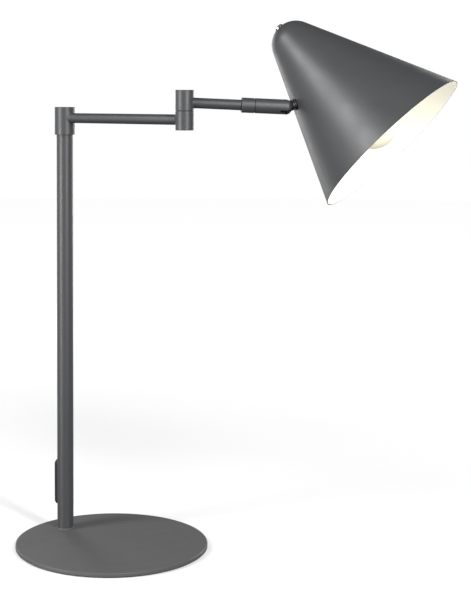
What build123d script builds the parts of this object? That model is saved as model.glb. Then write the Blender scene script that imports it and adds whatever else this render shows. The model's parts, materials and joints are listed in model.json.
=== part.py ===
from build123d import *
from math import cos, radians, sin, tan
import os

# A free-standing desk lamp with two swinging arms, in millimetres. +Z is up, the origin is the centre of
# the base's underside, +X runs from the stem towards the front of the base, and the switch is on the back.

# ---- driving dimensions ----------------------------------------------------------------------------------

# base
base_radius = 115
base_thickness = 5
pad_thickness = 1.5
pad_radius = 112
stem_x = -79            # the stem stands this far behind the base's centre
pocket_radius = 13      # recess under the plate for the nut
pocket_depth = 3.5
channel_width = 7       # groove under the plate for the mains cord
edge_round = 1.2
bottom_round = 0.8

# threaded hollow nipples, M10 x 1
thread_radius = 5
nipple_bore = 3
nut_flats = 14
nut_height = 2.5
washer_radius = 8
running_gap = 0.05      # radial clearance of a turning shaft
nipple_tip = 0.4        # a nipple's end past its nut
end_bevel = 0.4         # on the outer ends of turned collars
seam_bevel = 0.3        # on both sides of a seam between turned pieces
groove_width = 0.9      # of the groove where the knuckle's fork meets its ring
groove_depth = 0.8

# stem
stem_radius = 10
tube_wall = 1
foot_height = 2
stem_top = 500          # upper end of the stem tube

# arms
arm_radius = 6
arm_length = 192.5      # stem axis to elbow axis
lower_arm_z = 513.2
upper_arm_z = 532.6     # height of the upper arm's axis at the elbow
upper_arm_azimuth = 45.9
upper_arm_droop = 2.4

# stem collar
collar_radius = 12.25
collar_bottom = 493
collar_top = 526.5
collar_cavity = 10.2

# elbow collars
elbow_radius = 10.5
elbow_bottom = 501.3
elbow_seam = 523
elbow_top = 546.8
elbow_cavity = 8.4
seam_washer = 0.5

# knuckle, as distances along the upper arm from the elbow axis
ring_start = 64.5
fork_start = 79
pivot_distance = 113.9
fork_end = 120.2
knuckle_radius = 8.5
slot_width = 7
eye_radius = 5.2
fork_round = 4          # rounding of the fork's outer end
knuckle_roll = 37.6     # the slot leans this far from upright, away from the lower arm's side
head_tilt = 18.7        # the stud rises this far from the arm's line

# shade
stud_length = 13.5      # tilt pivot to the outside of the shade's wall
stud_radius = 5
head_spin = 10          # the shade is turned on its stud by this much
cone_angle = 23.3       # half angle
rim_radius = 100
dome_radius = 28
sheet = 1
stud_slant = 138.5      # cone apex to the stud, along the wall

# bulb and its holder, as distances from the shade's tip along its axis
bulb_length = 108
bulb_radius = 30
bulb_recess = 3.4       # the bulb's end stays this far inside the rim
holder_radius = 20
holder_back = 58
holder_front = 116

lead_radius = 2.2
lead_bend = 5

# rocker switch
switch_z = 63.3
switch_length = 56.7
switch_width = 12.5
switch_proud = 4
rocker_angle = 3.5

# ---- derived sizes and frames ----------------------------------------------------------------------------

base_top = pad_thickness + base_thickness
stem_bore = stem_radius - tube_wall
arm_bore = arm_radius - tube_wall
elbow_x = stem_x + arm_length
elbow_point = Vector(elbow_x, 0, upper_arm_z)

stem_axis = Plane((stem_x, 0, 0))
elbow_axis = Plane((elbow_x, 0, 0))

# the upper arm: along points down its length, rise is square to it and upright
along = Vector(1, 0, 0).rotate(Axis.Y, upper_arm_droop).rotate(Axis.Z, upper_arm_azimuth)
rise = Vector(0, 0, 1).rotate(Axis.Y, upper_arm_droop).rotate(Axis.Z, upper_arm_azimuth)
arm_frame = Plane(origin=elbow_point, x_dir=rise, z_dir=along)

# the knuckle: its X axis lies in the slot, and its Y axis is the tilt pin
slot_up = rise.rotate(Axis((0, 0, 0), along), -knuckle_roll)
pivot_point = elbow_point + along * pivot_distance
knuckle_frame = Plane(origin=pivot_point, x_dir=slot_up, z_dir=along)
pin_direction = knuckle_frame.y_dir
pin_frame = Plane(origin=pivot_point, x_dir=along, z_dir=pin_direction)

# the head: Z runs along the stud into the shade
stud_direction = along.rotate(Axis((0, 0, 0), pin_direction), head_tilt)
head_up = slot_up.rotate(Axis((0, 0, 0), pin_direction), head_tilt)
stud_frame = Plane(origin=pivot_point, x_dir=head_up, z_dir=stud_direction)
tongue_frame = Plane(origin=pivot_point, x_dir=stud_direction, z_dir=pin_direction)

# the shade: Z runs from its tip to its mouth, and X points from its axis to the stud
cone = radians(cone_angle)
wall_down = (-head_up).rotate(Axis((0, 0, 0), stud_direction), head_spin)
shade_direction = wall_down * cos(cone) + stud_direction * sin(cone)
shade_side = wall_down * sin(cone) - stud_direction * cos(cone)
tip_to_apex = dome_radius / sin(cone) - dome_radius
shade_height = rim_radius / tan(cone) - tip_to_apex
stud_radial = stud_slant * sin(cone)
stud_axial = stud_slant * cos(cone) - tip_to_apex
wall_point = pivot_point + stud_direction * stud_length
shade_tip = wall_point - shade_side * stud_radial - shade_direction * stud_axial
shade_frame = Plane(origin=shade_tip, x_dir=shade_side, z_dir=shade_direction)

os.makedirs("parts", exist_ok=True)


# ---- helpers ---------------------------------------------------------------------------------------------

def half_plane(frame):
    """The plane for a turned piece's half section: X is the radius and Y runs along the frame's Z axis."""
    return Plane(origin=frame.origin, x_dir=frame.x_dir, z_dir=-frame.y_dir)


def turn(frame, points, mode=Mode.ADD):
    """Revolve an outline of (radius, height) points about the frame's Z axis."""
    with BuildSketch(half_plane(frame)) as half:
        with BuildLine():
            Polyline(*points, close=True)
        make_face()
    revolve(half.sketch, axis=Axis(frame.origin, frame.z_dir), mode=mode)


def sleeve(frame, outer, inner, start, end, mode=Mode.ADD):
    """A plain ring or tube between two heights on the frame's Z axis; inner is 0 for a solid rod."""
    with BuildSketch(frame.offset(start)) as section:
        Circle(outer)
        if inner:
            Circle(inner, mode=Mode.SUBTRACT)
    extrude(section.sketch, amount=end - start, mode=mode)


def hex_nut(frame, flats, bore, start, end):
    """A hexagon nut across flats, between two heights on the frame's Z axis."""
    with BuildSketch(frame.offset(start)) as section:
        RegularPolygon(flats / 2, 6, major_radius=False)
        Circle(bore, mode=Mode.SUBTRACT)
    extrude(section.sketch, amount=end - start)


def lead(points, radii):
    """A round lead along straight runs joined by arcs, one radius for each corner."""
    with BuildLine() as route:
        if radii:
            FilletPolyline(*points, radius=radii)
        else:
            Line(*points)
    start = Plane(origin=points[0], z_dir=points[1] - points[0])
    with BuildSketch(start) as section:
        Circle(lead_radius)
    sweep(section.sketch, path=route.wire())


def save(piece, name):
    """Name the finished piece and write it out."""
    piece.part.label = name
    export_step(piece.part, f"parts/{name}.step")


# ---- base ------------------------------------------------------------------------------------------------

pocket_top = pad_thickness + pocket_depth

with BuildPart() as base_plate:
    with BuildSketch(Plane.XY.offset(pad_thickness)):
        Circle(base_radius)
    extrude(amount=base_thickness)
    fillet(base_plate.edges().group_by(Axis.Z)[-1], radius=edge_round)
    fillet(base_plate.edges().group_by(Axis.Z)[0], radius=bottom_round)
    sleeve(stem_axis, pocket_radius, 0, pad_thickness, pocket_top, mode=Mode.SUBTRACT)
    sleeve(stem_axis, thread_radius, 0, pocket_top, base_top, mode=Mode.SUBTRACT)
    channel_length = base_radius + stem_x
    with BuildSketch(Plane.XY.offset(pad_thickness)):
        with Locations((stem_x - channel_length / 2, 0)):
            Rectangle(channel_length + 2, channel_width)
    extrude(amount=pocket_depth, mode=Mode.SUBTRACT)
save(base_plate, "base_plate")

with BuildPart() as base_pad:
    with BuildSketch():
        Circle(pad_radius)
    extrude(amount=pad_thickness)
save(base_pad, "base_pad")

# the inlet for a flat twin cord, held in the channel's mouth by a lip that stands on the plate's edge
inlet_z = pad_thickness + pocket_depth / 2
inlet_height = 2.4
inlet_wall = 0.8
inlet_length = 8
lip = 1
lip_rise = 0.4
with BuildPart() as cord_grommet:
    with BuildSketch(Plane.YZ.offset(-base_radius)):
        with Locations((0, inlet_z)):
            Rectangle(channel_width, pocket_depth)
    extrude(amount=inlet_length)
    with BuildSketch(Plane.YZ.offset(-base_radius - lip)):
        with Locations((0, inlet_z + lip_rise / 2)):
            RectangleRounded(channel_width + 2 * inlet_wall, pocket_depth + lip_rise, inlet_wall)
    extrude(amount=lip)
    with BuildSketch(Plane.YZ.offset(-base_radius - lip)):
        with Locations((0, inlet_z)):
            SlotOverall(channel_width - 2 * inlet_wall, inlet_height)
    extrude(amount=inlet_length + lip, mode=Mode.SUBTRACT)
save(cord_grommet, "cord_grommet")

base_washer_thickness = 0.8
nipple_bottom = pad_thickness + 0.3
nipple_rise = 16
foot_depth = 18         # length of the foot's spigot inside the stem tube

with BuildPart() as base_nipple:
    sleeve(stem_axis, thread_radius, nipple_bore, nipple_bottom, base_top + nipple_rise)
save(base_nipple, "base_nipple")

with BuildPart() as base_washer:
    sleeve(stem_axis, washer_radius + 2, thread_radius, pocket_top - base_washer_thickness, pocket_top)
save(base_washer, "base_washer")

with BuildPart() as base_nut:
    hex_nut(stem_axis, nut_flats, thread_radius, nipple_bottom, pocket_top - base_washer_thickness)
save(base_nut, "base_nut")

# ---- stem ------------------------------------------------------------------------------------------------

foot_top = base_top + foot_height
foot_flange = stem_radius + 0.9
foot_chamfer = 0.5

with BuildPart() as stem_foot:
    turn(stem_axis, [
        (thread_radius, base_top),
        (foot_flange, base_top),
        (foot_flange, foot_top - foot_chamfer),
        (foot_flange - foot_chamfer, foot_top),
        (stem_bore, foot_top),
        (stem_bore, foot_top + foot_depth),
        (thread_radius, foot_top + foot_depth),
    ])
save(stem_foot, "stem_foot")

window_length = 40
window_width = 8
window_gap = 0.2

with BuildPart() as stem_tube:
    sleeve(stem_axis, stem_radius, stem_bore, foot_top, stem_top)
    with BuildSketch(Plane.YZ.offset(stem_x - stem_radius)):
        with Locations((0, switch_z)):
            Rectangle(window_width, window_length)
    extrude(amount=stem_radius, mode=Mode.SUBTRACT)
save(stem_tube, "stem_tube")

plug_flange = 1.2
plug_depth = 12
thrust_washer = 0.8
web = 3
plug_top = stem_top + plug_flange
collar_web = plug_top + thrust_washer
spring_height = 0.6
stem_nut_bottom = collar_web + web + spring_height
stem_nipple_top = stem_nut_bottom + nut_height + nipple_tip

with BuildPart() as stem_top_plug:
    turn(stem_axis, [
        (nipple_bore, stem_top - plug_depth),
        (stem_bore, stem_top - plug_depth),
        (stem_bore, stem_top),
        (stem_radius, stem_top),
        (stem_radius, plug_top),
        (thread_radius, plug_top),
        (thread_radius, stem_nipple_top),
        (nipple_bore, stem_nipple_top),
    ])
save(stem_top_plug, "stem_top_plug")

with BuildPart() as stem_thrust_washer:
    sleeve(stem_axis, stem_radius, thread_radius, plug_top, collar_web)
save(stem_thrust_washer, "stem_thrust_washer")

with BuildPart() as stem_spring_washer:
    sleeve(stem_axis, washer_radius, thread_radius, collar_web + web, stem_nut_bottom)
save(stem_spring_washer, "stem_spring_washer")

with BuildPart() as stem_nut:
    hex_nut(stem_axis, nut_flats, thread_radius, stem_nut_bottom, stem_nut_bottom + nut_height)
save(stem_nut, "stem_nut")

with BuildPart() as stem_lead:
    lead([Vector(stem_x, 0, foot_top + foot_depth), Vector(stem_x, 0, stem_nipple_top)], None)
save(stem_lead, "stem_lead")

# ---- rocker switch ---------------------------------------------------------------------------------------

switch_face = stem_x - stem_radius - switch_proud
rocker_opening = 28
rocker_width = 6
rocker_gap = 0.25
rocker_pin_radius = 0.8
rocker_pin_half = 4
pin_depth = 3.2         # the pin lies this far behind the bezel's face
rocker_pin_x = switch_face + pin_depth
bezel_round = 2.4
bezel_wrap = 2.6        # the bezel's back reaches this far past the tube's crown, and is cut to the tube
cavity_depth = 6.6
housing_back = stem_x - 4.2
switch_frame = Plane(origin=(switch_face, 0, switch_z), x_dir=(0, 0, 1), z_dir=(-1, 0, 0))

with BuildPart() as switch_housing:
    with BuildSketch(switch_frame):
        SlotOverall(switch_length, switch_width)
    extrude(amount=-switch_proud - bezel_wrap)
    fillet(switch_housing.faces().sort_by(Axis.X)[0].edges(), radius=bezel_round)
    sleeve(stem_axis, stem_radius, 0, 0, 2 * switch_z, mode=Mode.SUBTRACT)
    with BuildSketch(switch_frame.offset(-switch_proud)):
        Rectangle(window_length - 2 * window_gap, window_width - 2 * window_gap)
    extrude(amount=switch_face + switch_proud - housing_back)
    with BuildSketch(switch_frame):
        Rectangle(rocker_opening, rocker_width)
    extrude(amount=-cavity_depth, mode=Mode.SUBTRACT)
    with BuildSketch(Plane.XZ.offset(-rocker_pin_half)):
        with Locations((rocker_pin_x, switch_z)):
            Circle(rocker_pin_radius)
    extrude(amount=2 * rocker_pin_half, mode=Mode.SUBTRACT)
save(switch_housing, "switch_housing")

with BuildPart() as switch_pin:
    with BuildSketch(Plane.XZ.offset(-rocker_pin_half)):
        with Locations((rocker_pin_x, switch_z)):
            Circle(rocker_pin_radius)
    extrude(amount=2 * rocker_pin_half)
save(switch_pin, "switch_pin")

# the rocker rests with its upper half pressed in; its own frame is turned by half its travel
rocker_half = rocker_opening / 2 - 0.5
rocker_valley = pin_depth - 0.3
keel_half = 4
keel_depth = 1.6
rocker_rise = rocker_valley + rocker_half * tan(radians(rocker_angle))
rocker_line = Vector(0, 0, 1).rotate(Axis.Y, rocker_angle)
rocker_frame = Plane(origin=(rocker_pin_x, 0, switch_z), x_dir=rocker_line, z_dir=(0, 1, 0))
with BuildPart() as switch_rocker:
    with BuildSketch(rocker_frame.offset(rocker_gap - rocker_width / 2)):
        with BuildLine():
            Polyline(
                (-rocker_half, -rocker_rise),
                (0, -rocker_valley),
                (rocker_half, -rocker_rise),
                (rocker_half, 0),
                (keel_half, keel_depth),
                (-keel_half, keel_depth),
                (-rocker_half, 0),
                close=True,
            )
        make_face()
        Circle(rocker_pin_radius + running_gap, mode=Mode.SUBTRACT)
    extrude(amount=rocker_width - 2 * rocker_gap)
save(switch_rocker, "switch_rocker")

tab_spacing = 28
tab_width = 4
tab_height = 6
tab_thickness = 0.8
with BuildPart() as switch_terminals:
    with BuildSketch(Plane.YZ.offset(housing_back)):
        with Locations((0, switch_z)):
            with GridLocations(0, tab_spacing, 1, 2):
                Rectangle(tab_width, tab_height)
    extrude(amount=tab_thickness)
save(switch_terminals, "switch_terminals")

# ---- lower arm -------------------------------------------------------------------------------------------

bush_flange = 1.2
bush_outer = collar_radius - 1.1
bush_top = stem_top + 0.8
cap_thickness = 2
socket_depth = 0.4      # each arm tube stops this far inside the wall that it is brazed into
hole_inside = 3         # a hole through a collar's wall is cut from this far inside it
hole_outside = 1.5      # to this far outside it


def arm_hole(frame, cavity, radius):
    """A stepped hole through a collar's wall: the arm's bore, then a socket for the end of its tube."""
    outside = radius + hole_outside
    sleeve(frame, arm_bore, 0, cavity - hole_inside, outside, mode=Mode.SUBTRACT)
    sleeve(frame, arm_radius, 0, cavity + socket_depth, outside, mode=Mode.SUBTRACT)


with BuildPart() as stem_collar:
    turn(stem_axis, [
        (bush_outer, collar_bottom + bush_flange),
        (collar_radius, collar_bottom + bush_flange),
        (collar_radius, collar_top - end_bevel),
        (collar_radius - end_bevel, collar_top),
        (collar_cavity, collar_top),
        (collar_cavity, collar_web + web),
        (thread_radius + running_gap, collar_web + web),
        (thread_radius + running_gap, collar_web),
        (bush_outer, collar_web),
    ])
    arm_line = Plane(origin=(stem_x, 0, lower_arm_z), x_dir=(0, 1, 0), z_dir=(1, 0, 0))
    arm_hole(arm_line, collar_cavity, collar_radius)
save(stem_collar, "stem_collar")

with BuildPart() as collar_bush:
    turn(stem_axis, [
        (stem_radius + running_gap, collar_bottom),
        (collar_radius - seam_bevel, collar_bottom),
        (collar_radius, collar_bottom + seam_bevel),
        (collar_radius, collar_bottom + bush_flange),
        (bush_outer, collar_bottom + bush_flange),
        (bush_outer, bush_top),
        (stem_radius + running_gap, bush_top),
    ])
save(collar_bush, "collar_bush")

with BuildPart() as stem_collar_cap:
    sleeve(stem_axis, collar_cavity, 0, collar_top - cap_thickness, collar_top)
save(stem_collar_cap, "stem_collar_cap")

elbow_line = Plane(origin=(elbow_x, 0, lower_arm_z), x_dir=(0, 1, 0), z_dir=(-1, 0, 0))
with BuildPart() as lower_arm_tube:
    tube_end = arm_length - elbow_cavity - socket_depth
    sleeve(arm_line, arm_radius, arm_bore, collar_cavity + socket_depth, tube_end)
save(lower_arm_tube, "lower_arm_tube")

elbow_web_bottom = elbow_seam - 3.8
with BuildPart() as elbow_lower_collar:
    turn(elbow_axis, [
        (elbow_cavity, elbow_bottom),
        (elbow_radius - end_bevel, elbow_bottom),
        (elbow_radius, elbow_bottom + end_bevel),
        (elbow_radius, elbow_seam - seam_bevel),
        (elbow_radius - seam_bevel, elbow_seam),
        (thread_radius, elbow_seam),
        (thread_radius, elbow_web_bottom),
        (elbow_cavity, elbow_web_bottom),
    ])
    arm_hole(elbow_line, elbow_cavity, elbow_radius)
save(elbow_lower_collar, "elbow_lower_collar")

with BuildPart() as elbow_lower_cap:
    sleeve(elbow_axis, elbow_cavity, 0, elbow_bottom, elbow_bottom + cap_thickness)
save(elbow_lower_cap, "elbow_lower_cap")

upper_web_bottom = elbow_seam + seam_washer
upper_web_top = upper_web_bottom + web
elbow_nut_bottom = upper_web_top + spring_height
elbow_pivot_top = elbow_nut_bottom + nut_height + nipple_tip

with BuildPart() as elbow_pivot:
    sleeve(elbow_axis, thread_radius, nipple_bore, elbow_web_bottom, elbow_pivot_top)
save(elbow_pivot, "elbow_pivot")

with BuildPart() as elbow_seam_washer:
    sleeve(elbow_axis, elbow_radius - 1, thread_radius, elbow_seam, upper_web_bottom)
save(elbow_seam_washer, "elbow_seam_washer")

with BuildPart() as elbow_spring_washer:
    sleeve(elbow_axis, washer_radius, thread_radius, upper_web_top, elbow_nut_bottom)
save(elbow_spring_washer, "elbow_spring_washer")

with BuildPart() as elbow_nut:
    hex_nut(elbow_axis, nut_flats, thread_radius, elbow_nut_bottom, elbow_nut_bottom + nut_height)
save(elbow_nut, "elbow_nut")

# the lead climbs out of each hollow pivot and bends into the next tube
crest = stem_nipple_top + lead_bend + 1.2
lower_sweep = 200       # radius of the lead's gentle bend inside each arm
upper_sweep = 150
lower_settle = 70       # the lead lies on the arm's axis from this far out
upper_settle = 45
with BuildPart() as lower_arm_lead:
    lead([
        Vector(stem_x, 0, stem_nipple_top),
        Vector(stem_x, 0, crest),
        Vector(stem_x + lower_settle, 0, lower_arm_z),
        Vector(elbow_x, 0, lower_arm_z),
        Vector(elbow_x, 0, elbow_pivot_top),
    ], [lead_bend, lower_sweep, lead_bend + 0.8])
save(lower_arm_lead, "lower_arm_lead")

# ---- upper arm -------------------------------------------------------------------------------------------

with BuildPart() as elbow_upper_collar:
    turn(elbow_axis, [
        (thread_radius + running_gap, upper_web_bottom),
        (elbow_radius - seam_bevel, upper_web_bottom),
        (elbow_radius, upper_web_bottom + seam_bevel),
        (elbow_radius, elbow_top - end_bevel),
        (elbow_radius - end_bevel, elbow_top),
        (elbow_cavity, elbow_top),
        (elbow_cavity, upper_web_top),
        (thread_radius + running_gap, upper_web_top),
    ])
    arm_hole(arm_frame, elbow_cavity, elbow_radius)
save(elbow_upper_collar, "elbow_upper_collar")

with BuildPart() as elbow_upper_cap:
    sleeve(elbow_axis, elbow_cavity, 0, elbow_top - cap_thickness, elbow_top)
save(elbow_upper_cap, "elbow_upper_cap")

arm_end = ring_start + 6
with BuildPart() as upper_arm_tube:
    sleeve(arm_frame, arm_radius, arm_bore, elbow_cavity + socket_depth, arm_end)
save(upper_arm_tube, "upper_arm_tube")

ring_bore = knuckle_radius - 1.4
ring_web = fork_start - 3.5
roll_washer_thickness = 0.8
roll_nut_flats = 12
roll_nut_height = 2.8
sleeve_inset = 0.5
with BuildPart() as arm_end_sleeve:
    sleeve(arm_frame, ring_bore, arm_radius, ring_start + sleeve_inset, arm_end)
save(arm_end_sleeve, "arm_end_sleeve")

spigot_radius = 4
with BuildPart() as knuckle_ring:
    turn(arm_frame, [
        (ring_bore, ring_start),
        (knuckle_radius - end_bevel, ring_start),
        (knuckle_radius, ring_start + end_bevel),
        (knuckle_radius, fork_start - seam_bevel),
        (knuckle_radius - seam_bevel, fork_start),
        (spigot_radius + running_gap, fork_start),
        (spigot_radius + running_gap, ring_web),
        (ring_bore, ring_web),
    ])
save(knuckle_ring, "knuckle_ring")

spigot_end = arm_end + 0.4
with BuildPart() as upper_arm_lead:
    upper_crest = elbow_pivot_top + lead_bend
    lead([
        Vector(elbow_x, 0, elbow_pivot_top),
        Vector(elbow_x, 0, upper_crest),
        elbow_point + along * upper_settle,
        elbow_point + along * spigot_end,
    ], [lead_bend - 0.6, upper_sweep])
save(upper_arm_lead, "upper_arm_lead")

# ---- knuckle ---------------------------------------------------------------------------------------------

slot_root = eye_radius + 0.4
pin_radius = 2
pin_head_radius = 3.5
pin_head_gap = 0.1
pin_head_seat = 6.3
pin_head_face = knuckle_radius - 0.3
screw_slot = 1
screw_slot_depth = 0.9

with BuildPart() as knuckle_fork:
    turn(knuckle_frame, [
        (nipple_bore, spigot_end - pivot_distance),
        (spigot_radius, spigot_end - pivot_distance),
        (spigot_radius, fork_start - pivot_distance),
        (knuckle_radius - groove_depth, fork_start - pivot_distance),
        (knuckle_radius - groove_depth, fork_start - pivot_distance + groove_width),
        (knuckle_radius, fork_start - pivot_distance + groove_width),
        (knuckle_radius, fork_end - pivot_distance),
        (nipple_bore, fork_end - pivot_distance),
    ])
    outer_end = knuckle_fork.faces().sort_by(Axis(pivot_point, along))[-1]
    fillet(outer_end.outer_wire().edges(), radius=fork_round)
    with BuildSketch(pin_frame.offset(-slot_width / 2)):
        with Locations((knuckle_radius * 2 - slot_root, 0)):
            Rectangle(knuckle_radius * 4, knuckle_radius * 4)
    extrude(amount=slot_width, mode=Mode.SUBTRACT)
    sleeve(pin_frame, pin_radius, 0, -knuckle_radius, pin_head_seat, mode=Mode.SUBTRACT)
    sleeve(pin_frame, pin_head_radius + pin_head_gap, 0, -knuckle_radius, -pin_head_seat, mode=Mode.SUBTRACT)
save(knuckle_fork, "knuckle_fork")

with BuildPart() as tilt_screw:
    sleeve(pin_frame, pin_radius, 0, -pin_head_seat, pin_head_seat)
    sleeve(pin_frame, pin_head_radius, 0, -pin_head_face, -pin_head_seat)
    with BuildSketch(pin_frame.offset(-pin_head_face)):
        Rectangle(2 * pin_head_radius, screw_slot)
    extrude(amount=screw_slot_depth, mode=Mode.SUBTRACT)
save(tilt_screw, "tilt_screw")

with BuildPart() as roll_washer:
    sleeve(arm_frame, ring_bore - 0.4, spigot_radius, ring_web - roll_washer_thickness, ring_web)
save(roll_washer, "roll_washer")

with BuildPart() as roll_nut:
    roll_nut_end = ring_web - roll_washer_thickness
    hex_nut(arm_frame, roll_nut_flats, spigot_radius, roll_nut_end - roll_nut_height, roll_nut_end)
save(roll_nut, "roll_nut")

with BuildPart() as knuckle_lead:
    lead([elbow_point + along * spigot_end, pivot_point - along * slot_root], None)
save(knuckle_lead, "knuckle_lead")

# ---- head: tongue and its fixing -------------------------------------------------------------------------

tongue_half = slot_width / 2 - 0.1
flare = knuckle_radius - 0.5
shoulder = 3            # the tongue is this long past its pin before it narrows to the neck
neck_start = 9.2
taper_end = neck_start - 2
blade_end = neck_start + 1
bore_start = pin_radius + 1.6
stud_end = stud_length + 8

with BuildPart() as hinge_tongue:
    with BuildSketch(tongue_frame.offset(-tongue_half)):
        Circle(eye_radius)
        with BuildLine():
            Polyline(
                (0, -flare),
                (shoulder, -flare),
                (taper_end, -stud_radius),
                (blade_end, -stud_radius),
                (blade_end, stud_radius),
                (taper_end, stud_radius),
                (shoulder, flare),
                (0, flare),
                close=True,
            )
        make_face()
        Circle(pin_radius + running_gap, mode=Mode.SUBTRACT)
    extrude(amount=2 * tongue_half)
    sleeve(stud_frame, stud_radius, 0, neck_start, stud_end)
    sleeve(stud_frame, nipple_bore, 0, bore_start, stud_end, mode=Mode.SUBTRACT)
save(hinge_tongue, "hinge_tongue")

# the shade is a spun cone whose tip is a dome, tangent to it
def shade_section(gap):
    """Outline of the shade's surface moved inwards by gap, closed along the axis."""
    centre = dome_radius
    radius = dome_radius - gap
    tangent_height = centre - radius * sin(cone)
    mouth = rim_radius - gap / cos(cone)
    with BuildLine() as outline:
        RadiusArc((0, centre - radius), (radius * cos(cone), tangent_height), -radius)
        Line((radius * cos(cone), tangent_height), (mouth, shade_height))
        Line((mouth, shade_height), (0, shade_height))
        Line((0, shade_height), (0, centre - radius))
    return outline


screw_radius = 2.5
hole_reach = 3          # a hole's tool stands this far out on each side of the sheet
with BuildPart() as shade:
    with BuildSketch(half_plane(shade_frame)) as shade_wall:
        add(shade_section(0).line)
        make_face()
        with BuildSketch(mode=Mode.PRIVATE) as hollow:
            add(shade_section(sheet).line)
            make_face()
        add(hollow.sketch, mode=Mode.SUBTRACT)
    revolve(axis=Axis(shade_tip, shade_direction))
    sleeve(shade_frame, screw_radius, 0, -hole_reach, hole_reach, mode=Mode.SUBTRACT)
    stud_hole_end = stud_length + sheet + hole_reach
    sleeve(stud_frame, stud_radius, 0, stud_length - hole_reach, stud_hole_end, mode=Mode.SUBTRACT)
save(shade, "shade")

# a flange outside and a saddle inside clamp the wall, both cut to its curve
flange_radius = 6.2
flange_thickness = 2.5
with BuildPart() as stud_flange:
    sleeve(stud_frame, flange_radius, stud_radius, stud_length - flange_thickness, stud_length + sheet / 2)
    add(shade.part, mode=Mode.SUBTRACT)
save(stud_flange, "stud_flange")

saddle_start = stud_length + sheet
saddle_end = saddle_start + 2.4
with BuildPart() as stud_saddle:
    sleeve(stud_frame, washer_radius + 1, stud_radius, saddle_start, saddle_end)
    add(shade.part, mode=Mode.SUBTRACT)
save(stud_saddle, "stud_saddle")

with BuildPart() as stud_nut:
    hex_nut(stud_frame, nut_flats, stud_radius, saddle_end, saddle_end + nut_height + seam_bevel)
save(stud_nut, "stud_nut")

# ---- head: tip screw and lampholder ----------------------------------------------------------------------

screw_head_radius = 5.2
screw_head_height = 2.2
screw_chamfer = 1
screw_end = 14
tip_slot = 1.4
tip_slot_depth = 1.6
tip_slot_turn = 114     # the slot is turned this far from the stud's side
head_seat = screw_head_radius ** 2 / (2 * dome_radius) + 0.1
tip_washer_radius = 7
tip_washer_end = sheet + 1.8

with BuildPart() as tip_screw:
    turn(shade_frame, [
        (0, -screw_head_height),
        (screw_head_radius - screw_chamfer, -screw_head_height),
        (screw_head_radius, screw_chamfer - screw_head_height),
        (screw_head_radius, head_seat),
        (screw_radius, head_seat),
        (screw_radius, screw_end),
        (0, screw_end),
    ])
    with BuildSketch(shade_frame.offset(-screw_head_height).rotated((0, 0, tip_slot_turn))):
        Rectangle(2 * screw_head_radius, tip_slot)
    extrude(amount=tip_slot_depth, mode=Mode.SUBTRACT)
    add(shade.part, mode=Mode.SUBTRACT)
save(tip_screw, "tip_screw")

with BuildPart() as tip_washer:
    sleeve(shade_frame, tip_washer_radius, screw_radius, sheet, tip_washer_end)
    add(shade.part, mode=Mode.SUBTRACT)
save(tip_washer, "tip_washer")

holder_neck_end = holder_back + 8
with BuildPart() as holder_spacer:
    sleeve(shade_frame, stud_radius, screw_radius, tip_washer_end, screw_end)
    sleeve(shade_frame, stud_radius, 0, screw_end, holder_neck_end)
save(holder_spacer, "holder_spacer")

# the holder is a domed cap over a skirt, with walls 2 thick; the lead enters through the cap's side
holder_wall = 2
cap_crown = 8           # the cap's flat top
cap_neck = 10
cap_neck_end = holder_back + 3
cap_shoulder = holder_back + 7
cap_rim = holder_back + 11
cap_slant = 1.4         # the cap's wall is this much thicker along its slanted shoulder
cap_joint = holder_back + 22
entry_height = holder_back + 12
entry_depth = 4
with BuildPart() as holder_cap:
    turn(shade_frame, [
        (stud_radius, holder_back),
        (cap_crown, holder_back),
        (cap_neck, cap_neck_end),
        (holder_radius - holder_wall, cap_shoulder),
        (holder_radius, cap_rim),
        (holder_radius, cap_joint),
        (holder_radius - holder_wall, cap_joint),
        (holder_radius - holder_wall, cap_rim + 0.6),
        (holder_radius - holder_wall - cap_slant, cap_shoulder + 1.6),
        (stud_radius, cap_neck_end + holder_wall),
    ])
    entry = Plane(origin=shade_tip + shade_direction * entry_height, x_dir=shade_direction, z_dir=shade_side)
    sleeve(entry, lead_radius, 0, holder_radius - entry_depth, holder_radius + 1, mode=Mode.SUBTRACT)
save(holder_cap, "holder_cap")

bulb_end = shade_height - bulb_recess
contact_height = bulb_end - bulb_length
insert_top = contact_height - 1.2
insert_thickness = 3
thread_sleeve = 13.6
thread_wall = 0.6
thread_top = insert_top + 24
grip_start = insert_top + 8
lip_height = 6          # the skirt's last part, straight and chamfered
with BuildPart() as holder_insert:
    insert_radius = holder_radius - holder_wall - 0.1
    sleeve(shade_frame, insert_radius, 0, insert_top - insert_thickness, insert_top)
save(holder_insert, "holder_insert")

spring_contact_radius = 3
with BuildPart() as holder_contact:
    sleeve(shade_frame, spring_contact_radius, 0, insert_top, contact_height)
save(holder_contact, "holder_contact")

with BuildPart() as holder_thread:
    sleeve(shade_frame, thread_sleeve + thread_wall, thread_sleeve, insert_top, thread_top)
save(holder_thread, "holder_thread")

with BuildPart() as holder_skirt:
    turn(shade_frame, [
        (holder_radius - holder_wall, cap_joint),
        (holder_radius, cap_joint),
        (holder_radius - 1, holder_front - lip_height),
        (holder_radius - 1, holder_front - 1),
        (holder_radius - 2, holder_front),
        (thread_sleeve + holder_wall + thread_wall, holder_front),
        (thread_sleeve + thread_wall, thread_top),
        (thread_sleeve + thread_wall, grip_start),
        (holder_radius - holder_wall - cap_slant, grip_start),
    ])
save(holder_skirt, "holder_skirt")

# ---- head: bulb ------------------------------------------------------------------------------------------

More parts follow.
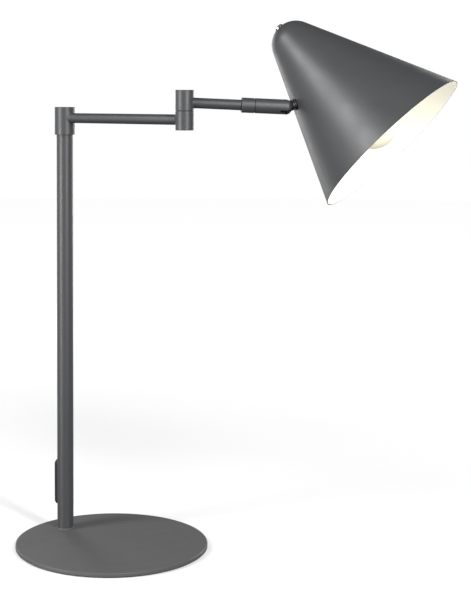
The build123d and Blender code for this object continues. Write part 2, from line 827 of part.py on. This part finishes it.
# an E27 cap: its shell rolls in at the bottom onto an insulator, which carries the tip contact
cap_radius = 13.1
cap_wall = 0.8
cap_bottom = contact_height + 5
cap_top = contact_height + 26
cap_roll = 9
cap_roll_height = 2.5
cap_lip = 0.6
insulator_floor = contact_height + 1.6
insulator_radius = 5
tip_contact_radius = 4.5
bulb_centre = bulb_end - bulb_radius
glass = 0.8
neck_inset = 0.6
shoulder_angle = radians(32)


def envelope_section(gap):
    """Outline of the bulb's envelope moved inwards by gap, closed along the axis."""
    radius = bulb_radius - gap
    neck = cap_radius - neck_inset - gap
    shoulder = (radius * cos(shoulder_angle), bulb_centre - radius * sin(shoulder_angle))
    with BuildLine() as outline:
        ball = RadiusArc((0, bulb_centre + radius), shoulder, radius)
        Spline(shoulder, (neck, cap_top), tangents=(ball % 1, Vector(0, -1, 0)))
        Line((neck, cap_top), (0, cap_top))
        Line((0, cap_top), (0, bulb_centre + radius))
    return outline


with BuildPart() as bulb_glass:
    with BuildSketch(half_plane(shade_frame)):
        add(envelope_section(0).line)
        make_face()
        with BuildSketch(mode=Mode.PRIVATE) as inside:
            add(envelope_section(glass).line)
            make_face()
        add(inside.sketch, mode=Mode.SUBTRACT)
    revolve(axis=Axis(shade_tip, shade_direction))
save(bulb_glass, "bulb_glass")

with BuildPart() as bulb_cap:
    turn(shade_frame, [
        (cap_roll, cap_bottom),
        (cap_radius, cap_bottom + cap_roll_height),
        (cap_radius, cap_top),
        (0, cap_top),
        (0, cap_top - cap_wall),
        (cap_radius - cap_wall, cap_top - cap_wall),
        (cap_radius - cap_wall, cap_bottom + cap_roll_height + 0.5),
        (cap_roll - cap_wall, cap_bottom + cap_lip),
    ])
save(bulb_cap, "bulb_cap")

with BuildPart() as bulb_insulator:
    turn(shade_frame, [
        (0, insulator_floor),
        (insulator_radius, insulator_floor),
        (cap_roll, cap_bottom),
        (cap_roll - cap_wall, cap_bottom + cap_lip),
        (0, cap_bottom + cap_lip),
    ])
save(bulb_insulator, "bulb_insulator")

with BuildPart() as bulb_contact:
    sleeve(shade_frame, tip_contact_radius, 0, contact_height, insulator_floor)
save(bulb_contact, "bulb_contact")

# the head's lead leaves the stud and enters the side of the holder's cap
head_lead_run = 8
head_lead_bend = 9
with BuildPart() as head_lead:
    lead([
        pivot_point + stud_direction * (bore_start + 0.4),
        pivot_point + stud_direction * (stud_end + head_lead_run),
        entry.origin + shade_side * (holder_radius + head_lead_run),
        entry.origin + shade_side * (holder_radius - entry_depth),
    ], [head_lead_bend, head_lead_bend])
save(head_lead, "head_lead")
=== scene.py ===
import json
import math

import bmesh
import bpy
from mathutils import Matrix, Vector


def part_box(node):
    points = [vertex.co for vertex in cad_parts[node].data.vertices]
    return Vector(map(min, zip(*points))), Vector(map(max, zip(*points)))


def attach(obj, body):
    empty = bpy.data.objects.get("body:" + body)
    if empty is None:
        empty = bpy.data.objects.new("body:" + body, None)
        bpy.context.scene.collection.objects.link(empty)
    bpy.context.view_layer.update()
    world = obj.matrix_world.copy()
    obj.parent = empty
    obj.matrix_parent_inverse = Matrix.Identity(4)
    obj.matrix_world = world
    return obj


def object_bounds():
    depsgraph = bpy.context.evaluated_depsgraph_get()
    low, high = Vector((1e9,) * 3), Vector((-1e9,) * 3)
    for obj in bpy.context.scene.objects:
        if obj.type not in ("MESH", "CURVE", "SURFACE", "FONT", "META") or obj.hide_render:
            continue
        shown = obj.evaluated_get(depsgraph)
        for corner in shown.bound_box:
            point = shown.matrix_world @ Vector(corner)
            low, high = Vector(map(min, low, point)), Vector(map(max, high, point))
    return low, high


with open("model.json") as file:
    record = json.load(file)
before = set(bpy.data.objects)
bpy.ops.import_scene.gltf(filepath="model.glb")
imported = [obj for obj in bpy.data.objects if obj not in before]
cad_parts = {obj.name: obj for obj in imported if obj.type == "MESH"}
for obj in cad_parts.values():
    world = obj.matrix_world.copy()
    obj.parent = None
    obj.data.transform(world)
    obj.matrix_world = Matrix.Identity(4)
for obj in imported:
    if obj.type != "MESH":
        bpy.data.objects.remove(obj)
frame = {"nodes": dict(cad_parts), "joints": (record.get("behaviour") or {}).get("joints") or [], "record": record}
cad_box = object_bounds()

# An anthracite desk lamp: a powder-coated base, a stem, two swinging arms and a conical shade, enamelled
# cream inside. The CAD nodes keep their shapes and get materials here. The enamel, the braze fillets where
# the arms meet their collars, the ribs on the lampholder and the knurl on the shade's flange are added.

SCENE = bpy.context.scene
MM = 0.001

# ---- the CAD's frames, in metres -----------------------------------------------------------------------

JOINTS = {joint["name"]: joint for joint in frame["joints"]}
MOUNTS = {mount["name"]: mount for mount in frame["record"]["mounts"]}
STEM = Vector(JOINTS["stem_swivel"]["pos_m"])
ELBOW = Vector(JOINTS["elbow_swivel"]["pos_m"])
ARM_POINT = Vector(JOINTS["head_roll"]["pos_m"])
ARM_ALONG = Vector(JOINTS["head_roll"]["axis"]).normalized()
SHADE_DOWN = Vector(MOUNTS["bulb_socket"]["axis"]).normalized()

# the shade's wall, as in the CAD
CONE = math.radians(23.3)
DOME = 28 * MM
SHEET = 1 * MM
TIP_HOLE = 2.5 * MM     # radius of the screw's hole in the shade's tip


def node_points(name):
    """A CAD node's vertices at rest."""
    return [vertex.co.copy() for vertex in frame["nodes"][name].data.vertices]


def along_axis(point, origin, direction):
    """How far along a line a point is, and how far from it."""
    offset = point - origin
    height = offset.dot(direction)
    return height, (offset - direction * height).length


def shade_line():
    """The shade's tip and its height from tip to mouth."""
    on_axis = Vector(MOUNTS["bulb_socket"]["pos_m"])
    heights = [along_axis(point, on_axis, SHADE_DOWN)[0] for point in node_points("shade")]
    # the screw's hole takes the very tip away, so the tip is where the dome would end
    missing = DOME - math.sqrt(DOME ** 2 - TIP_HOLE ** 2)
    low = min(heights) - missing
    return on_axis + SHADE_DOWN * low, max(heights) - low


SHADE_TIP, SHADE_HEIGHT = shade_line()

# ---- camera --------------------------------------------------------------------------------------------

# the lens and the sensor's width are in millimetres, and the shift is a share of the frame's longer side
CAMERA_PLACE = Vector((1.153, -1.206, 0.5365))
CAMERA_AZIMUTH = 41.12
CAMERA_ELEVATION = -3.283
CAMERA_ROLL = 0.142
CAMERA_LENS = 84.68
CAMERA_SENSOR = 36
CAMERA_SHIFT = (0.10, -0.20)


def make_camera():
    """The camera, turned by its azimuth, then tipped by its elevation, then rolled."""
    data = bpy.data.cameras.new("camera")
    data.lens = CAMERA_LENS
    data.sensor_width = CAMERA_SENSOR
    data.shift_x, data.shift_y = CAMERA_SHIFT
    camera = bpy.data.objects.new("camera", data)
    SCENE.collection.objects.link(camera)
    turn = Matrix.Rotation(math.radians(CAMERA_AZIMUTH), 4, "Z")
    tip = Matrix.Rotation(math.radians(90 + CAMERA_ELEVATION), 4, "X")
    roll = Matrix.Rotation(math.radians(CAMERA_ROLL), 4, "Z")
    camera.matrix_world = Matrix.Translation(CAMERA_PLACE) @ turn @ tip @ roll
    SCENE.camera = camera


# ---- floor and light -----------------------------------------------------------------------------------

FLOOR_RADIUS = 6
FLOOR_SEGMENTS = 96
# the floor glows a little, more so far out, so that it stays pale and even up to the white walls
FLOOR_NEAR = 0.5
FLOOR_FAR = 2.4
FLOOR_NEAR_GLOW = 0.42
FLOOR_FAR_GLOW = 0.9


def make_floor():
    """A round floor that lights nothing: the lamp sees the studio's dim lower part in its place."""
    mesh = bpy.data.meshes.new("floor")
    shape = bmesh.new()
    bmesh.ops.create_circle(shape, cap_ends=True, segments=FLOOR_SEGMENTS, radius=FLOOR_RADIUS)
    shape.to_mesh(mesh)
    shape.free()
    floor = bpy.data.objects.new("floor", mesh)
    SCENE.collection.objects.link(floor)
    floor.data.materials.append(floor_paint())
    floor.visible_diffuse = False
    floor.visible_glossy = False


def area_light(name, azimuth, elevation, distance, size, power):
    """A softbox aimed at the lamp's middle, with its azimuth counted rightwards from the camera's side."""
    centre = (cad_box[0] + cad_box[1]) / 2
    flat = (CAMERA_PLACE - centre).to_2d().normalized()
    side = Vector((flat.x, flat.y, 0))
    direction = side @ Matrix.Rotation(math.radians(-azimuth), 3, "Z")
    direction = direction * math.cos(math.radians(elevation))
    direction.z = math.sin(math.radians(elevation))
    data = bpy.data.lights.new(name, "AREA")
    data.shape = "RECTANGLE"
    data.size, data.size_y = size
    data.energy = power
    light = bpy.data.objects.new(name, data)
    SCENE.collection.objects.link(light)
    light.location = centre + direction * distance
    light.rotation_mode = "QUATERNION"
    light.rotation_quaternion = (-direction).to_track_quat("-Z", "Y")


# the studio's walls are white for a little way over and under the horizon, its ceiling is dim, and so is
# what lies under the floor
HORIZON = (
    (-0.28, 0.17),
    (-0.09, 1.0),
    (0.07, 1.0),
    (0.18, 0.12),
)


def make_studio():
    """A world whose light depends on height alone, by the stops in HORIZON."""
    world = bpy.data.worlds.new("studio")
    world.use_nodes = True
    tree = world.node_tree
    direction = tree.nodes.new("ShaderNodeTexCoord").outputs["Generated"]
    split = tree.nodes.new("ShaderNodeSeparateXYZ")
    tree.links.new(direction, split.inputs["Vector"])
    share = tree.nodes.new("ShaderNodeMapRange")
    share.inputs["From Min"].default_value = -1
    tree.links.new(split.outputs["Z"], share.inputs["Value"])
    ramp = tree.nodes.new("ShaderNodeValToRGB")
    ramp.color_ramp.interpolation = "EASE"
    while len(ramp.color_ramp.elements) < len(HORIZON):
        ramp.color_ramp.elements.new(0.5)
    for stop, (height, light) in zip(ramp.color_ramp.elements, HORIZON):
        stop.position = (height + 1) / 2
        stop.color = (light, light, light, 1)
    tree.links.new(share.outputs["Result"], ramp.inputs["Fac"])
    tree.links.new(ramp.outputs["Color"], tree.nodes["Background"].inputs["Color"])
    SCENE.world = world
    SCENE.view_settings.view_transform = "Standard"


def make_lights():
    """Two softboxes to the camera's left, a tall one to its right, and two weak low ones behind the lamp."""
    area_light("high_softbox", azimuth=-68, elevation=36, distance=1.9, size=(0.34, 0.8), power=25)
    area_light("low_softbox", azimuth=-57, elevation=3, distance=1.7, size=(0.3, 0.9), power=23)
    area_light("fill_softbox", azimuth=33, elevation=24, distance=1.9, size=(0.3, 1.5), power=53)
    area_light("back_softbox_left", azimuth=-150, elevation=8, distance=2.1, size=(0.5, 1.3), power=8)
    area_light("back_softbox_right", azimuth=150, elevation=12, distance=2.1, size=(0.5, 1.3), power=12)


# ---- materials -----------------------------------------------------------------------------------------

class Paint:
    """A material's node tree with a Principled shader, and short calls that add to it."""

    def __init__(self, name, colour, roughness, **values):
        self.material = bpy.data.materials.new(name)
        self.material.use_nodes = True
        self.tree = self.material.node_tree
        self.shader = self.tree.nodes["Principled BSDF"]
        self.shader.inputs["Base Color"].default_value = (*colour, 1)
        self.shader.inputs["Roughness"].default_value = roughness
        for key, value in values.items():
            self.shader.inputs[key.replace("_", " ")].default_value = value
        self.colour = colour
        self.roughness = roughness
        self.place = self.tree.nodes.new("ShaderNodeTexCoord").outputs["Object"]

    def node(self, kind, **settings):
        made = self.tree.nodes.new(kind)
        for key, value in settings.items():
            setattr(made, key, value)
        return made

    def link(self, output, target):
        self.tree.links.new(output, target)

    def noise(self, scale, detail=2.0, roughness=0.5):
        """A noise over the object's own space; scale counts features in a metre."""
        made = self.node("ShaderNodeTexNoise")
        made.inputs["Scale"].default_value = scale
        made.inputs["Detail"].default_value = detail
        made.inputs["Roughness"].default_value = roughness
        self.link(self.place, made.inputs["Vector"])
        return made.outputs["Fac"]

    def mapped(self, value, low, high, start=0.3, end=0.7):
        """The value's middle range, from start to end, stretched to run from low to high."""
        made = self.node("ShaderNodeMapRange")
        made.inputs["From Min"].default_value = start
        made.inputs["From Max"].default_value = end
        made.inputs["To Min"].default_value = low
        made.inputs["To Max"].default_value = high
        self.link(value, made.inputs["Value"])
        return made.outputs["Result"]

    def tone(self, value, spread):
        """Lets the base colour drift by a share each way."""
        made = self.node("ShaderNodeMix", data_type="RGBA")
        made.inputs["A"].default_value = (*[c * (1 - spread) for c in self.colour], 1)
        made.inputs["B"].default_value = (*[min(1, c * (1 + spread)) for c in self.colour], 1)
        self.link(self.mapped(value, 0, 1), made.inputs["Factor"])
        self.link(made.outputs["Result"], self.shader.inputs["Base Color"])

    def sheen_drift(self, value, spread):
        """Lets the roughness drift by an amount each way."""
        drift = self.mapped(value, self.roughness - spread, self.roughness + spread)
        self.link(drift, self.shader.inputs["Roughness"])

    def bump(self, height, depth, strength=1.0):
        """Raises the surface by up to depth, in metres."""
        made = self.node("ShaderNodeBump")
        made.inputs["Strength"].default_value = strength
        made.inputs["Distance"].default_value = depth
        self.link(height, made.inputs["Height"])
        before = self.shader.inputs["Normal"]
        if before.is_linked:
            self.link(before.links[0].from_socket, made.inputs["Normal"])
        self.link(made.outputs["Normal"], before)


def powder_coat(name, colour, roughness=0.42):
    """Fine matt powder coat: a grainy skin, a faint orange peel under it, and slightly uneven gloss."""
    paint = Paint(name, colour, roughness, Specular_IOR_Level=0.45)
    grain = paint.noise(scale=3200, detail=3, roughness=0.6)
    peel = paint.noise(scale=420, detail=1)
    cloud = paint.noise(scale=38, detail=4)
    paint.tone(grain, spread=0.10)
    paint.sheen_drift(cloud, spread=0.035)
    paint.bump(peel, depth=0.03 * MM, strength=0.6)
    paint.bump(grain, depth=0.02 * MM, strength=0.7)
    return paint.material


def enamel():
    """The shade's inside: smooth warm white lacquer with a slight peel, and a warm glow that is painted light
    standing in for the bulb's light on it.
    """
    paint = Paint("cream_enamel_painted_glow", (0.60, 0.575, 0.485), 0.36, Specular_IOR_Level=0.4, Emission_Strength=0.5)
    # the emission is painted light: the enamel glows as if the bulb lit it, though it is no lamp
    paint.shader.inputs["Emission Color"].default_value = (1.0, 0.98, 0.86, 1)
    paint.tone(paint.noise(scale=26, detail=3), spread=0.02)
    paint.sheen_drift(paint.noise(scale=90), spread=0.05)
    paint.bump(paint.noise(scale=520, detail=1), depth=0.02 * MM, strength=0.5)
    return paint.material


TOOLING_SCALE = 900
TOOLING_STRETCH = 14    # the tooling marks are this much finer along Z than across it


def plated(name, colour, roughness):
    """Plated turned metal, with fine tooling marks and a few dull patches."""
    paint = Paint(name, colour, roughness, Metallic=1.0)
    stretched = paint.node("ShaderNodeMapping")
    stretched.inputs["Scale"].default_value = (1, 1, TOOLING_STRETCH)
    paint.link(paint.place, stretched.inputs["Vector"])
    tooling = paint.node("ShaderNodeTexNoise")
    tooling.inputs["Scale"].default_value = TOOLING_SCALE
    tooling.inputs["Detail"].default_value = 3
    paint.link(stretched.outputs["Vector"], tooling.inputs["Vector"])
    paint.tone(paint.noise(scale=260, detail=3), spread=0.06)
    paint.sheen_drift(paint.noise(scale=170, detail=2), spread=0.07)
    paint.bump(tooling.outputs["Fac"], depth=0.01 * MM, strength=0.35)
    return paint.material


def moulded(name, colour, roughness, grain_size=0.5, depth=0.03):
    """Moulded plastic or rubber with a spark-eroded grain, grain_size and depth in millimetres."""
    paint = Paint(name, colour, roughness, Specular_IOR_Level=0.45)
    cells = paint.node("ShaderNodeTexVoronoi", feature="SMOOTH_F1")
    cells.inputs["Scale"].default_value = 1 / (grain_size * MM)
    paint.link(paint.place, cells.inputs["Vector"])
    paint.tone(paint.noise(scale=140, detail=3), spread=0.08)
    paint.sheen_drift(paint.noise(scale=300, detail=2), spread=0.06)
    paint.bump(cells.outputs["Distance"], depth=depth * MM, strength=0.8)
    return paint.material


def black_oxide():
    """Blackened steel with an oily, slightly mottled skin."""
    paint = Paint("black_oxide", (0.012, 0.012, 0.013), 0.42, Specular_IOR_Level=0.45)
    paint.tone(paint.noise(scale=320, detail=4), spread=0.3)
    paint.sheen_drift(paint.noise(scale=500, detail=3), spread=0.09)
    paint.bump(paint.noise(scale=1500, detail=2), depth=0.02 * MM, strength=0.6)
    return paint.material


def lit_opal():
    """The lit bulb's opal glass: it glows in a slightly uneven warm white."""
    paint = Paint("lit_opal_glass", (0.78, 0.75, 0.60), 0.22, Emission_Strength=0.36)
    warm = paint.node("ShaderNodeMix", data_type="RGBA")
    warm.inputs["A"].default_value = (1.0, 0.86, 0.62, 1)
    warm.inputs["B"].default_value = (1.0, 0.92, 0.74, 1)
    paint.link(paint.mapped(paint.noise(scale=30, detail=1), 0, 1), warm.inputs["Factor"])
    paint.link(warm.outputs["Result"], paint.shader.inputs["Emission Color"])
    paint.bump(paint.noise(scale=700, detail=1), depth=0.01 * MM, strength=0.3)
    return paint.material


def floor_paint():
    """A pale matt floor that glows more with distance from the lamp."""
    paint = Paint("studio_floor", (0.5, 0.5, 0.5), 0.8, Specular_IOR_Level=0.1)
    paint.tone(paint.noise(scale=3, detail=2), spread=0.01)
    distance = paint.node("ShaderNodeVectorMath", operation="LENGTH")
    paint.link(paint.place, distance.inputs[0])
    glow = paint.mapped(distance.outputs["Value"], FLOOR_NEAR_GLOW, FLOOR_FAR_GLOW, FLOOR_NEAR, FLOOR_FAR)
    paint.link(glow, paint.shader.inputs["Emission Strength"])
    paint.shader.inputs["Emission Color"].default_value = (1, 1, 1, 1)
    return paint.material


PAINTS = {
    # the base's coat is the same anthracite as the arms' and the shade's, made lighter here: painted light for the
    # light that the base's top catches
    "base_coat": powder_coat("base_powder_coat_painted_light", (0.070, 0.0705, 0.072), roughness=0.54),
    "arm_coat": powder_coat("arm_powder_coat", (0.036, 0.037, 0.039)),
    "shade_coat": powder_coat("shade_powder_coat", (0.038, 0.039, 0.041)),
    "steel": plated("zinc_plated_steel", (0.52, 0.52, 0.51), 0.32),
    "nickel": plated("satin_nickel", (0.66, 0.63, 0.58), 0.24),
    "brass": plated("plain_brass", (0.72, 0.53, 0.24), 0.3),
    "black_plastic": moulded("black_moulded_plastic", (0.004, 0.004, 0.0045), 0.5),
    "black_steel": black_oxide(),
    "white_plastic": moulded("white_moulded_plastic", (0.78, 0.77, 0.73), 0.36, grain_size=0.8, depth=0.015),
    "nylon": moulded("natural_nylon", (0.62, 0.61, 0.56), 0.4, grain_size=0.7, depth=0.02),
    "rubber": moulded("black_rubber", (0.016, 0.016, 0.017), 0.62, grain_size=0.4, depth=0.03),
    "pad_foam": moulded("closed_cell_foam", (0.025, 0.025, 0.027), 0.8, grain_size=1.1, depth=0.12),
    "lead_jacket": moulded("pvc_lead_jacket", (0.66, 0.66, 0.64), 0.38, grain_size=0.6, depth=0.01),
    "bulb_glass": lit_opal(),
}
ENAMEL_WITH_PAINTED_GLOW = enamel()


def paint_nodes():
    """Gives each CAD node the material of its slot in the record."""
    for part in frame["record"]["subparts"]:
        node = frame["nodes"][part["node"]]
        node.data.materials.clear()
        node.data.materials.append(PAINTS[part["material_slot"]])


# ---- mesh helpers --------------------------------------------------------------------------------------

SHARP_EDGE = math.radians(40)   # edges that bend more than this stay sharp


def new_piece(name, points, faces, material, body):
    """A smooth-shaded mesh piece that rides on a body."""
    mesh = bpy.data.meshes.new(name)
    mesh.from_pydata([tuple(point) for point in points], [], faces)
    mesh.validate()
    mesh.materials.append(material)
    piece = bpy.data.objects.new(name, mesh)
    SCENE.collection.objects.link(piece)
    shape = bmesh.new()
    shape.from_mesh(mesh)
    bmesh.ops.recalc_face_normals(shape, faces=shape.faces)
    shape.to_mesh(mesh)
    shape.free()
    mesh.shade_smooth()
    mesh.set_sharp_from_angle(angle=SHARP_EDGE)
    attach(piece, body)


def ring_faces(count, around, closed=True):
    """Faces between the rings of a swept section of count points, repeated around times."""
    faces = []
    turns = around if closed else around - 1
    for turn in range(turns):
        after = (turn + 1) % around
        for step in range(count):
            beside = (step + 1) % count
            faces.append((
                turn * count + step,
                turn * count + beside,
                after * count + beside,
                after * count + step,
            ))
    return faces


def square_to(direction):
    """Two directions square to one and to each other."""
    first = direction.orthogonal().normalized()
    return first, direction.cross(first).normalized()


# ---- the shade's enamel --------------------------------------------------------------------------------

LINING_START = math.radians(17)     # the lining begins this far round the dome from the tip
LINING_GAP = 0.03 * MM
LINING_THICKNESS = 0.12 * MM
LINING_AROUND = 160
DOME_STEPS = 14
WALL_STEPS = 18


def lining_edge(inset):
    """Points (radius, height) down the inside of the shade, moved in by inset from the wall's outer face."""
    radius = DOME - inset
    points = []
    for step in range(DOME_STEPS + 1):
        angle = LINING_START + (math.pi / 2 - CONE - LINING_START) * step / DOME_STEPS
        points.append((radius * math.sin(angle), DOME - radius * math.cos(angle)))
    top_radius, top_height = points[-1]
    for step in range(1, WALL_STEPS + 1):
        height = top_height + (SHADE_HEIGHT - top_height) * step / WALL_STEPS
        points.append((top_radius + (height - top_height) * math.tan(CONE), height))
    return points


def make_lining():
    """A thin closed shell just inside the shade's wall, from near its tip to its mouth."""
    outer = lining_edge(SHEET + LINING_GAP)
    inner = lining_edge(SHEET + LINING_GAP + LINING_THICKNESS)
    section = outer + inner[::-1]
    first, second = square_to(SHADE_DOWN)
    points = []
    for turn in range(LINING_AROUND):
        angle = 2 * math.pi * turn / LINING_AROUND
        out = first * math.cos(angle) + second * math.sin(angle)
        points += [SHADE_TIP + out * radius + SHADE_DOWN * height for radius, height in section]
    new_piece("shade_enamel", points, ring_faces(len(section), LINING_AROUND), ENAMEL_WITH_PAINTED_GLOW, "head")


# ---- braze fillets -------------------------------------------------------------------------------------

FILLET_LEG = 0.9 * MM
FILLET_AROUND = 72
FILLET_ARC = 5
ROOT_DEPTH = 0.15 * MM


def distance_to_collar(start, direction, axis_point, radius):
    """How far along a line it leaves the upright cylinder of that radius."""
    offset = (start - axis_point).to_2d()
    flat = direction.to_2d()
    a = flat.dot(flat)
    b = offset.dot(flat)
    c = offset.dot(offset) - radius ** 2
    return (-b + math.sqrt(b * b - a * c)) / a


def fillet_section():
    """A hollow fillet's outline, as pairs of rise off the tube and run along it from the collar."""
    bends = [math.pi / 2 * step / FILLET_ARC for step in range(FILLET_ARC + 1)]
    hollow = [(FILLET_LEG * (1 - math.cos(bend)), FILLET_LEG * (1 - math.sin(bend))) for bend in bends]
    return [(-ROOT_DEPTH, -ROOT_DEPTH), (-ROOT_DEPTH, FILLET_LEG), *hollow, (FILLET_LEG, -ROOT_DEPTH)]


def make_fillet(name, body, axis_point, collar_radius, start, direction, tube_radius):
    """A hollow fillet round the line where a tube runs out of an upright collar."""
    first, second = square_to(direction)
    section = fillet_section()
    points = []
    for turn in range(FILLET_AROUND):
        angle = 2 * math.pi * turn / FILLET_AROUND
        out = first * math.cos(angle) + second * math.sin(angle)
        for rise, run in section:
            base = start + out * (tube_radius + rise)
            reach = distance_to_collar(base, direction, axis_point, collar_radius)
            points.append(base + direction * (reach + run))
    new_piece(name, points, ring_faces(len(section), FILLET_AROUND), PAINTS["arm_coat"], body)


def radius_of(node):
    """The radius of a node that is round about an upright axis or about one along X."""
    low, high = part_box(node)
    return (high.y - low.y) / 2


def make_fillets():
    """Fillets at both ends of the lower arm and at the upper arm's elbow end."""
    arm_radius = radius_of("lower_arm_tube")
    low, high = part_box("lower_arm_tube")
    height = (low.z + high.z) / 2
    stem_line = Vector((STEM.x, STEM.y, height))
    elbow_line = Vector((ELBOW.x, ELBOW.y, height))
    right = Vector((1, 0, 0))
    collar = radius_of("stem_collar")
    elbow = radius_of("elbow_lower_collar")
    make_fillet("stem_collar_braze", "lower_arm", stem_line, collar, stem_line, right, arm_radius)
    make_fillet("elbow_lower_braze", "lower_arm", elbow_line, elbow, elbow_line, -right, arm_radius)
    back = (ARM_POINT - ELBOW).to_2d().length / ARM_ALONG.to_2d().length
    upper_start = ARM_POINT - ARM_ALONG * back
    make_fillet("elbow_upper_braze", "upper_arm", ELBOW, elbow, upper_start, ARM_ALONG, arm_radius)


# ---- the holder's grip ribs and the flange's knurl -----------------------------------------------------

RIB_ROUND = 5           # steps over a rib's round top
RIB_STEPS = 8           # steps along it
RIB_END = 0.12          # a rib's rise at its ends, as a share of its full rise
RIB_FADE = 0.35         # how suddenly a rib rises from its ends: less is more sudden


class Ribs:
    """Low rounded ribs round an axis, as one mesh of separate closed ribs."""

    def __init__(self, origin, axis, count, width, rise, sink):
        self.origin = origin
        self.axis = axis
        self.count = count
        self.width = width
        self.rise = rise
        self.sink = sink

    def section(self, centre, side, out, share):
        """A rib's outline at a point of its length; share runs from 0 at one end to 1 at the other."""
        swell = max(RIB_END, math.sin(math.pi * share) ** RIB_FADE)
        edge = side * self.width / 2
        points = [centre - edge - out * self.sink]
        for arc in range(RIB_ROUND + 1):
            turn = math.pi * arc / RIB_ROUND
            points.append(centre - edge * math.cos(turn) + out * self.rise * math.sin(turn) * swell)
        points.append(centre + edge - out * self.sink)
        return points

    def build(self, name, line, material):
        """line gives the distance from the axis and the height along it, for a share of the rib's length."""
        first, second = square_to(self.axis)
        points, faces = [], []
        section = RIB_ROUND + 3
        for rib in range(self.count):
            angle = 2 * math.pi * rib / self.count
            out = first * math.cos(angle) + second * math.sin(angle)
            side = self.axis.cross(out)
            offset = len(points)
            for step in range(RIB_STEPS + 1):
                share = step / RIB_STEPS
                radius, height = line(share)
                centre = self.origin + self.axis * height + out * radius
                points += self.section(centre, side, out, share)
            strip = ring_faces(section, RIB_STEPS + 1, closed=False)
            faces += [tuple(offset + corner for corner in face) for face in strip]
            last = offset + RIB_STEPS * section
            faces.append(tuple(range(offset, offset + section)))
            faces.append(tuple(reversed(range(last, last + section))))
        new_piece(name, points, faces, material, "head")


GRIP_START = 2.5 * MM   # the grip ribs begin this far below the skirt's upper edge
GRIP_END = 7.5 * MM     # and end this far above its lower one
SKIRT_TAPER = 1 * MM    # the skirt narrows by this much down to its lip
SKIRT_LIP = 6 * MM      # the lip's height


def make_holder_grip():
    """Ribs down the lampholder's skirt."""
    origin = Vector(MOUNTS["bulb_socket"]["pos_m"])
    profile = [along_axis(point, origin, SHADE_DOWN) for point in node_points("holder_skirt")]
    top = min(height for height, radius in profile)
    bottom = max(height for height, radius in profile)
    widest = max(radius for height, radius in profile)
    slope = SKIRT_TAPER / (bottom - top - SKIRT_LIP)

    def line(share):
        height = top + GRIP_START + (bottom - GRIP_END - top - GRIP_START) * share
        return widest - slope * (height - top), height

    ribs = Ribs(origin, SHADE_DOWN, count=36, width=1.1 * MM, rise=0.55 * MM, sink=0.2 * MM)
    ribs.build("holder_grip_ribs", line, PAINTS["white_plastic"])


KNURL_INSET = 0.15 * MM  # the knurl stays this far inside the flange's outer face
KNURL_LENGTH = 1.6 * MM


def make_flange_knurl():
    """A knurled edge on the flange that clamps the shade's wall from outside."""
    pivot = Vector(JOINTS["head_tilt"]["pos_m"])
    points = node_points("stud_flange")
    middle = sum(points, Vector()) / len(points)
    stud = (middle - pivot).normalized()
    profile = [along_axis(point, pivot, stud) for point in points]
    start = min(height for height, radius in profile) + KNURL_INSET
    end = start + KNURL_LENGTH
    radius = max(radius for height, radius in profile)

    def line(share):
        return radius, start + (end - start) * share

    ribs = Ribs(pivot, stud, count=26, width=0.9 * MM, rise=0.35 * MM, sink=0.25 * MM)
    ribs.build("stud_flange_knurl", line, PAINTS["black_plastic"])


# ---- assembly ------------------------------------------------------------------------------------------

make_camera()
make_floor()
make_studio()
make_lights()
paint_nodes()
make_lining()
make_fillets()
make_holder_grip()
make_flange_knurl()
